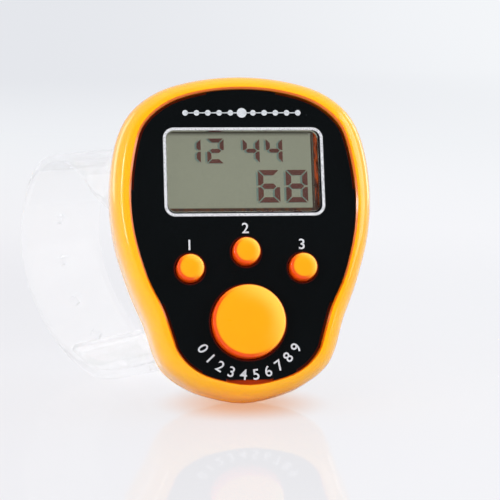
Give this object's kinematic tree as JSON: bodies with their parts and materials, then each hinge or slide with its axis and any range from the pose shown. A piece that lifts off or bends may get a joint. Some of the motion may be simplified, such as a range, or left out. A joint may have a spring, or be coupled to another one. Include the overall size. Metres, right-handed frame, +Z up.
{
  "type": "digital finger counter",
  "caption": "Finger-worn digital counter: a rounded case with a display, press keys and a clear strap looped behind it, resting on its lower edge and on the strap.",
  "frame": {"origin": "the point where the case's lowest edge rests on the surface, in the case's middle plane", "axes": "+X to the viewer's right of the display, +Y from the display towards the strap loop, +Z up"},
  "size_m": [0.0443, 0.0472, 0.041],
  "materials": {
    "orange_plastic": "glossy",
    "key_plastic": "satin",
    "black_plate": "glossy",
    "adhesive": "matte",
    "clear_lens": "glossy, clear",
    "display_glass": "clear",
    "polariser_film": "satin",
    "figure_ink": "satin",
    "light_panel": "frosted",
    "led_body": "matte",
    "zebra_rubber": "matte",
    "board_green": "satin",
    "black_resin": "satin",
    "ceramic_parts": "satin",
    "cell_metal": "satin",
    "steel": "brushed",
    "contact_brass": "satin",
    "dome_rubber": "matte",
    "carbon_rubber": "matte",
    "clear_strap": "clear",
    "clear_stud": "clear"
  },
  "bodies": {
    "housing": {"front_case": "orange_plastic", "rear_case": "orange_plastic", "face_plate": "black_plate", "plate_adhesive": "adhesive", "window_lens": "clear_lens", "lcd_front_polariser": "polariser_film", "lcd_front_glass": "display_glass", "lcd_figures": "figure_ink", "lcd_rear_glass": "display_glass", "lcd_rear_polariser": "polariser_film", "backlight_panel": "light_panel", "backlight_led": "led_body", "contact_strip": "zebra_rubber", "circuit_board": "board_green", "chip_cover": "black_resin", "clock_crystal": "steel", "capacitors": "ceramic_parts", "resistors": "black_resin", "keypad_sheet": "dome_rubber", "count_dome": "dome_rubber", "mode_dome": "dome_rubber", "set_dome": "dome_rubber", "light_dome": "dome_rubber", "button_cell": "cell_metal", "positive_contact": "contact_brass", "negative_contact": "contact_brass", "battery_door": "orange_plastic", "battery_door_screw": "steel", "case_screws": "steel", "board_screws": "steel", "strap": "clear_strap", "strap_stud": "clear_stud"},
    "count_button": {"count_key": "key_plastic", "count_pill": "carbon_rubber"},
    "mode_button": {"mode_key": "key_plastic", "mode_pill": "carbon_rubber"},
    "set_button": {"set_key": "key_plastic", "set_pill": "carbon_rubber"},
    "light_button": {"light_key": "key_plastic", "light_pill": "carbon_rubber"}
  },
  "joints": [
    {"name": "count_press", "type": "slide", "parent": "housing", "child": "count_button", "axis": [0, 0.9511, -0.309], "range_m": [0, 0.0009], "stiffness_N_per_m": 900, "springref_m": -0.0003, "deforming": ["count_dome"]},
    {"name": "mode_press", "type": "slide", "parent": "housing", "child": "mode_button", "axis": [0, 0.9511, -0.309], "range_m": [0, 0.0007], "stiffness_N_per_m": 1000, "springref_m": -0.0003, "deforming": ["mode_dome"]},
    {"name": "set_press", "type": "slide", "parent": "housing", "child": "set_button", "axis": [0, 0.9511, -0.309], "range_m": [0, 0.0007], "stiffness_N_per_m": 1000, "springref_m": -0.0003, "deforming": ["set_dome"]},
    {"name": "light_press", "type": "slide", "parent": "housing", "child": "light_button", "axis": [0, 0.9511, -0.309], "range_m": [0, 0.0007], "stiffness_N_per_m": 1000, "springref_m": -0.0003, "deforming": ["light_dome"]}
  ]
}
